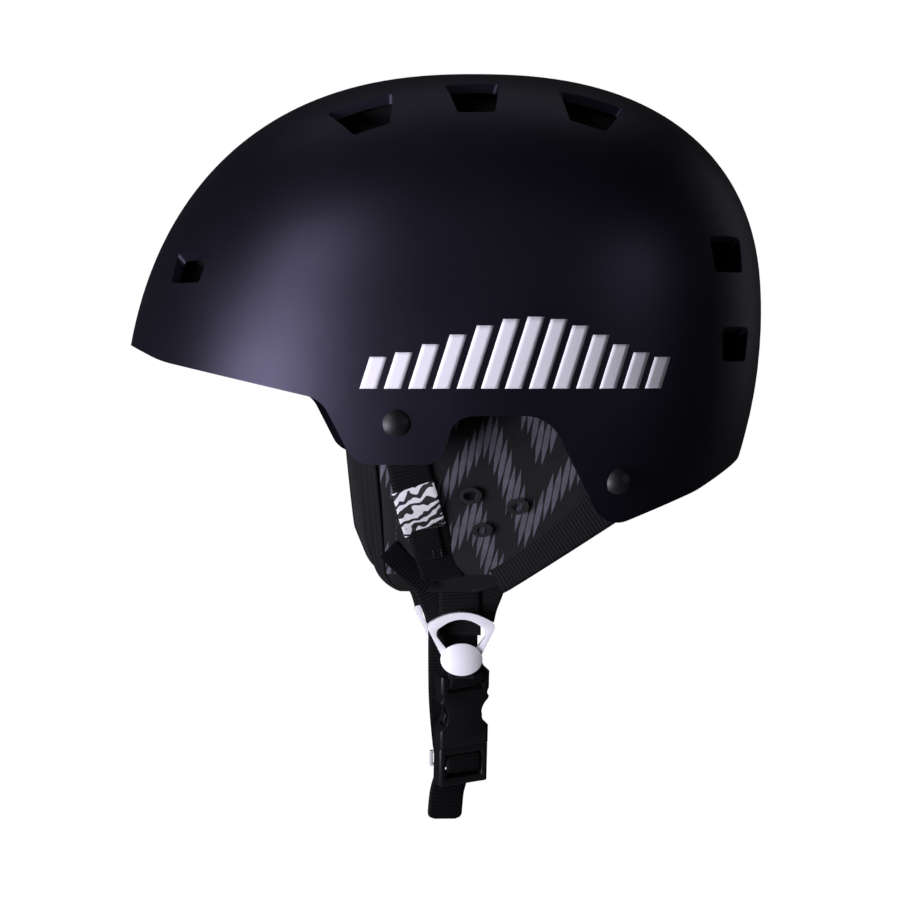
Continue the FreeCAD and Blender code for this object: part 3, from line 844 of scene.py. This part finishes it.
def strap(name, path, width, body, node=None, dirs=None, material=None, thick=WEB_T, tip=0.0):
    """One length of webbing or ribbon on a body, in place of a frame node if one is given."""
    if dirs is None:
        dirs = []
        for i in range(len(path)):
            tangent = (path[min(i + 1, len(path) - 1)] - path[max(i - 1, 0)]).normalized()
            dirs.append(Vector((1, 0, 0)).cross(tangent))
        dirs = [d if d.length > 0.05 else Vector((0, 1, 0)) for d in dirs]
    obj = ribbon(name, path, dirs, width, thick, material or M["webbing"], tip)
    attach(obj, body)
    if node:
        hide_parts(node)


WEB_WIDTH, DOWN_WIDTH, BAND_WIDTH = 18, 16, 10
TAG_WIDTH, LOOP_WIDTH, CHIN_WIDTH, TAIL_WIDTH = 18.5, 13, 16, 16.5
# name, y at the top and at the foot, sink into the pad, width, depth of the foot
DOWN_WEBS = (("front", -10.5, -3.2, 0.9, DOWN_WIDTH, 240), ("rear", 16.5, 10.8, 0.9, DOWN_WIDTH, 240),
             ("middle", 3, 3.7, -0.7, WEB_WIDTH, 247.4))


def build_harness(side):
    """The straps, tag, loop and band of one side, with their stitching."""
    flip = mirrored if side == "right" else list
    first = face_path([(-26, 146), (-19.3, 178), (-12, 200), (-5.5, 218), (-4.5, 222)], 0.95)
    strap("front_strap_web_" + side, flip(first), WEB_WIDTH, "root", "front_strap_" + side)
    second = face_path([(69, 185.5), (60, 191.5), (41, 204.5), (22, 217.5), (17, 220.5)], 1.0)
    strap("rear_strap_web_" + side, flip(second), WEB_WIDTH, "root", "rear_strap_" + side)
    for name, y0, y1, sink, width, last in DOWN_WEBS:
        down = [(57.0 - sink, y0, 219), (54.6 - sink, y0 * 0.75 + y1 * 0.25, 226),
                (52.6 - sink, y0 * 0.25 + y1 * 0.75, 234), (52.2 - sink, y1, last)]
        path = smooth_path([(x, y, CROWN_Z - d) for x, y, d in down], 9)
        strap(f"down_web_{name}_{side}", flip(path), width, "root")
    diagonal = face_path([(-28.5, 208.5), (-23, 214), (-16, 220), (-10, 225)], 2.3)
    strap("lower_band_" + side, flip(diagonal), BAND_WIDTH, "root")
    tag = face_path([(-19, 181.5), (-17.5, 186), (-15.5, 193), (-13, 200)], 2.3)
    for i, p in enumerate(tag):
        p.x += 1.3 * math.sin(math.pi * i / (len(tag) - 1))
    strap("ribbon_tag_web_" + side, flip(tag), TAG_WIDTH, "root", "ribbon_tag_" + side,
          material=M["zebra"], thick=0.6)
    loop = face_path([(-14, 199), (-12, 206.5), (-10.2, 213)], 2.5)
    strap("strap_loop_web_" + side, flip(loop), LOOP_WIDTH, "root", "strap_loop_" + side)
    rows = []
    for shift in (-5, -1.7, 1.7, 5):
        points = [(-11.2 + shift, 209.8 - shift * 0.2), (-10.6 + shift, 212.2 - shift * 0.2)]
        rows.append(flip(face_path(points, 3.25)))
    across = flip(face_path([(-18.5, 200.2), (-5.5, 198.0)], 3.1))
    stitches("loop_stitching_" + side, rows + [across], "root", M["thread"], 1.3, 1.0, 0.22)
    bits = []
    for k in range(3):
        y, depth = -29 + k * 3.7, 210.5 + k * 3.0
        bits.append(flip(face_path([(y, depth), (y + 0.8, depth + 1.3)], 3.05)))
    stitches("band_thread_" + side, bits, "root", M["pale_thread"], 1.6, 1.2, 0.25)


def build_chin():
    """The chin strap's two webs, to the socket and the tongue, and the loose tail."""
    across = buckle_point(1, 0, 0) - buckle_point(0, 0, 0)
    if across.y < 0:
        across = -across
    lead = [(50.6, 3.4, -213), (50.3, 3.6, -221), (50.6, 4.0, -227)]
    turn = ((0, -5.4, 2.2), (0, -5.6, -1.5), (0, -4.2, -4.4), (0, -0.4, -5.2), (0, 3, -4.9))
    lead += [tuple(buckle_point(*q)) for q in turn]
    path = smooth_path(lead, 8)
    dirs = [Vector((0, 1, 0)).lerp(across, min(1.0, i / 20)) for i in range(len(path))]
    strap("chin_web_left", path, CHIN_WIDTH, "chin_strap", "chin_strap_left", dirs)
    window = buckle_point(0, 2.6, -38.4)
    far = smooth_path([(-52.6, 3.8, -211), (-51.6, 3.8, -219.5), (-50.5, 3.6, -232), (-38, 3.2, -254),
                       (-16, 3.5, -270.5), (-3, 3.8, -275.5), (7, 3.8, -276.6), (14.5, 3.8, -277),
                       (21.5, 4.2, -275.5), tuple(window)], 9)
    dirs = []
    for i in range(len(far)):
        t = max(0.0, (i - len(far) + 18) / 17)
        dirs.append(Vector((0, 1, 0)).lerp(across, t))
    web = ribbon("chin_web_right", far, dirs, TAIL_WIDTH, WEB_T, M["webbing"])
    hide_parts("chin_strap_right")
    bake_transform(web)
    local = [(0, 2.6, -38.4), (0, -1.2, -38.6), (0, -3.2, -40.2), (0, -3.7, -43.0), (0, -3.1, -46.0),
             (0, -0.4, -48.0), (0, 3.2, -48.6)]
    wrap = [buckle_point(*q) for q in local]
    wrap += [(23.2, 2.2, -281.5), (22.5, 0.0, -288), (22.2, -0.9, -295), (22.0, -1.3, -301.5)]
    tail = smooth_path(wrap, 9)
    strap("tail_web", tail, TAIL_WIDTH, "buckle_tongue", "strap_tail", [across] * len(tail), tip=3.0)


BARS, BAR_FOOT, BAR_STEP, BAR_WIDTH, BAR_LEAN = 13, 139.5, 10.1, 7.2, 0.32
BAR_ROWS, BAR_COLS = 12, 4


def build_graphic():
    """A plain swell of slanted bars on each side of the shell."""
    for side, sign in (("left", 1), ("right", -1)):
        verts, faces = [], []
        for k in range(BARS):
            y0 = -42 + k * BAR_STEP
            height = 13 + 17 * math.sin(math.pi * (k + 0.5) / BARS) ** 2
            start = len(verts)
            for r in range(BAR_ROWS + 1):
                t = r / BAR_ROWS
                depth = BAR_FOOT - height * t
                for c in range(BAR_COLS + 1):
                    y = y0 + BAR_WIDTH * c / BAR_COLS + BAR_LEAN * height * t
                    verts.append(Vector((sign * (shell_x(y, depth) + 0.12), y, CROWN_Z - depth)))
            across = BAR_COLS + 1
            for r in range(BAR_ROWS):
                for c in range(BAR_COLS):
                    a = start + r * across + c
                    faces.append((a, a + 1, a + across + 1, a + across))
        art = mesh_object("side_graphic_" + side, verts, faces, [M["graphic"]])
        solid = art.modifiers.new("Film", "SOLIDIFY")
        solid.thickness = 0.00012
        fix_normals(art)
        apply_modifiers(art)
        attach(art, "root")


# ---- add-on layout ----
class HelmetStyle(bpy.types.PropertyGroup):
    shell_color: FloatVectorProperty(name="Shell colour", description="Base colour of the shell",
                                     default=(0.0026, 0.0022, 0.0038), size=3, subtype="COLOR", min=0, max=1)
    shell_roughness: FloatProperty(name="Shell roughness", description="How matt the shell is",
                                   default=0.42, min=0, max=1, subtype="FACTOR")
    edge_round: FloatProperty(name="Edge rounding", description="Radius of the small moulded edges",
                              default=0.0005, unit="LENGTH")


class HelmetStage(bpy.types.PropertyGroup):
    key_power: FloatProperty(name="Key light", description="Power of the big front light in watts",
                             default=36.0, min=0)
    fill_power: FloatProperty(name="Fill light", description="Power of each side fill light in watts",
                              default=7.0, min=0)
    rim_power: FloatProperty(name="Rim light", description="Power of the top and back lights in watts",
                             default=0.9, min=0)
    distance: FloatProperty(name="Camera distance", description="From the helmet's middle to the camera",
                            default=1.5, unit="LENGTH")


class HELMET_OT_shell(bpy.types.Operator):
    """Finish the shell, liner and rivets"""
    bl_idname = "helmet.shell"
    bl_label = "Shell and liner"

    def execute(self, context):
        paint = {"outer_shell": "shell", "rivet_washers": "plastic", "shell_rivets": "rivet"}
        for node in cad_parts:
            if node.startswith(("liner", "ear_pad_backing")):
                paint[node] = "foam"
        for node, key in paint.items():
            repaint(node, key)
        return {"FINISHED"}


class HELMET_OT_graphic(bpy.types.Operator):
    """Lay the plain striped graphic on both sides"""
    bl_idname = "helmet.graphic"
    bl_label = "Side graphic"

    def execute(self, context):
        build_graphic()
        return {"FINISHED"}


class HELMET_OT_ear_pads(bpy.types.Operator):
    """Sew the two ear pads"""
    bl_idname = "helmet.ear_pads"
    bl_label = "Ear pads"

    def execute(self, context):
        for side in ("left", "right"):
            build_ear_pad(side)
            repaint("ear_pad_eyelets_" + side, "eyelet")
        return {"FINISHED"}


class HELMET_OT_comfort(bpy.types.Operator):
    """Stuff the comfort pads inside the liner"""
    bl_idname = "helmet.comfort"
    bl_label = "Comfort pads"

    def execute(self, context):
        for place in ("front", "rear", "crown", "left", "right"):
            build_comfort_pad("comfort_pad_" + place)
        build_vent_fabric()
        return {"FINISHED"}


class HELMET_OT_harness(bpy.types.Operator):
    """Weave the straps, ribbons and chin webbing"""
    bl_idname = "helmet.harness"
    bl_label = "Harness webbing"

    def execute(self, context):
        build_harness("left")
        build_harness("right")
        build_chin()
        return {"FINISHED"}


# shares of the edge rounding for pieces thicker or finer than the buckle
PLATE_ROUND, ARM_ROUND, KEEPER_ROUND = 1.6, 0.7, 0.6


class HELMET_OT_hardware(bpy.types.Operator):
    """Round and finish the dividers, buckle and keeper"""
    bl_idname = "helmet.hardware"
    bl_label = "Hardware"

    def execute(self, context):
        width = context.scene.helmet_style.edge_round
        for side in ("left", "right"):
            lever = f"divider_{side}_lever"
            for name, body in (("divider_back_", "root"), ("divider_front_", lever)):
                plate = softened(name + side, body, M["white"], width * PLATE_ROUND)
                dark_below(plate, KNUCKLE_TOP, M["plastic"])
            softened("divider_button_" + side, lever, M["white"], width)
            repaint("divider_pin_" + side, "plastic")
            arm = "tongue_arm_" + side
            softened(arm, arm, M["plastic"], width * ARM_ROUND)
        softened("buckle_socket", "chin_strap", M["plastic"], width)
        softened("buckle_tongue", "buckle_tongue", M["plastic"], width)
        softened("strap_keeper", "keeper", M["milky"], width * KEEPER_ROUND)
        return {"FINISHED"}


LIGHT_COLOR = (0.91, 0.88, 1.0)
REAR_FILL, REAR_RIM = 0.2, 0.5
CAMERA_AZIMUTH, CAMERA_LIFT, CAMERA_LENS = 86.5, 1.5, 133.2
CAMERA_AIM = Vector((0, 0.0025, -0.138))
BACKDROP, WORLD_LIGHT = 0.98, 0.02
FLOOR_DROP, FLOOR_HALF = 1.3, 9


def area_light(name, place, aim, size, power):
    """A rectangular lamp at a place, turned to what it lights."""
    data = bpy.data.lights.new(name, "AREA")
    data.shape = "RECTANGLE"
    data.size, data.size_y = size
    data.energy = power
    data.color = LIGHT_COLOR
    obj = linked(name, data)
    obj.location = place
    obj.rotation_euler = (Vector(aim) - Vector(place)).to_track_quat("-Z", "Y").to_euler()


class HELMET_OT_stage(bpy.types.Operator):
    """Set the camera, lights and pale floor"""
    bl_idname = "helmet.stage"
    bl_label = "Stage"

    def execute(self, context):
        stage = context.scene.helmet_stage
        scene = context.scene
        scene.view_settings.view_transform = "Standard"
        azimuth, lift = math.radians(CAMERA_AZIMUTH), math.radians(CAMERA_LIFT)
        camera = bpy.data.cameras.new("Camera")
        camera.lens, camera.sensor_width = CAMERA_LENS, 36.0
        eye = linked("Camera", camera)
        level = Vector((math.sin(azimuth), -math.cos(azimuth), 0)) * math.cos(lift)
        eye.location = CAMERA_AIM + (level + Vector((0, 0, math.sin(lift)))) * stage.distance
        eye.rotation_euler = (CAMERA_AIM - eye.location).to_track_quat("-Z", "Y").to_euler()
        scene.camera = eye
        area_light("Front", (0.95, -1.2, -0.42), (0.03, -0.05, -0.1), (0.8, 0.8), stage.key_power)
        area_light("Fill front", (1.1, -1.1, 0.6), (0.05, 0, -0.2), (0.6, 0.6), stage.fill_power)
        area_light("Fill rear", (1.1, 1.3, 0.2), (0.05, 0, -0.2), (0.5, 0.5), stage.fill_power * REAR_FILL)
        area_light("Top", (-0.5, 0.0, 1.2), (0, 0, 0), (1.4, 0.8), stage.rim_power)
        area_light("Rear", (-0.7, 1.2, 0.2), (0, 0.1, -0.05), (0.7, 1.0), stage.rim_power * REAR_RIM)
        world = bpy.data.worlds.new("Studio")
        world.use_nodes = True
        tree = world.node_tree
        back = tree.nodes["Background"]
        path = tree.nodes.new("ShaderNodeLightPath")
        glow = math_node(tree, "MULTIPLY_ADD", path.outputs["Is Camera Ray"], BACKDROP, WORLD_LIGHT)
        tree.links.new(glow, back.inputs["Strength"])
        back.inputs["Color"].default_value = (1, 1, 1, 1)
        scene.world = world
        floor_z, half = CAD_BOX[0][2] - FLOOR_DROP, FLOOR_HALF
        corners = [(x, y, floor_z) for x, y in ((-half, -half), (half, -half), (half, half), (-half, half))]
        floor = mesh_object("floor", [tuple(c / MM for c in p) for p in corners], [(0, 1, 2, 3)], [])
        f = Finish("Pale floor", 0.9, 0.1)
        grain = f.group(GRAIN, Vector=f.coords(), Scale=3.0)
        seen = f.add("ShaderNodeLightPath").outputs["Is Camera Ray"]
        f.bsdf.inputs["Emission Color"].default_value = (1, 1, 1, 1)
        feed(f.tree, f.bsdf.inputs["Emission Strength"], seen)
        floor.data.materials.append(f.close(f.blend(grain["Tone"], (0.5, 0.5, 0.51), (0.54, 0.54, 0.54))))
        return {"FINISHED"}


class HELMET_PT_panel(bpy.types.Panel):
    """Sidebar panel that lists the helmet's steps"""
    bl_label = "Water helmet"
    bl_space_type = "VIEW_3D"
    bl_region_type = "UI"
    bl_category = "Helmet"

    def draw(self, context):
        for group in (context.scene.helmet_style, context.scene.helmet_stage):
            for key in group.bl_rna.properties.keys():
                if key not in ("rna_type", "name"):
                    self.layout.prop(group, key)
        for step in STEPS:
            self.layout.operator(step.bl_idname)


STEPS = (HELMET_OT_stage, HELMET_OT_shell, HELMET_OT_graphic, HELMET_OT_ear_pads, HELMET_OT_comfort,
         HELMET_OT_harness, HELMET_OT_hardware)
CLASSES = (HelmetStyle, HelmetStage) + STEPS + (HELMET_PT_panel,)


def register():
    for item in CLASSES:
        bpy.utils.register_class(item)
    bpy.types.Scene.helmet_style = PointerProperty(type=HelmetStyle)
    bpy.types.Scene.helmet_stage = PointerProperty(type=HelmetStage)


def unregister():
    del bpy.types.Scene.helmet_stage
    del bpy.types.Scene.helmet_style
    for item in reversed(CLASSES):
        bpy.utils.unregister_class(item)


def main():
    """Runs every step."""
    register()
    make_materials(bpy.context.scene.helmet_style)
    bpy.ops.helmet.stage()
    bpy.ops.helmet.shell()
    bpy.ops.helmet.graphic()
    bpy.ops.helmet.ear_pads()
    bpy.ops.helmet.comfort()
    bpy.ops.helmet.harness()
    bpy.ops.helmet.hardware()


if __name__ == "__main__":
    main()
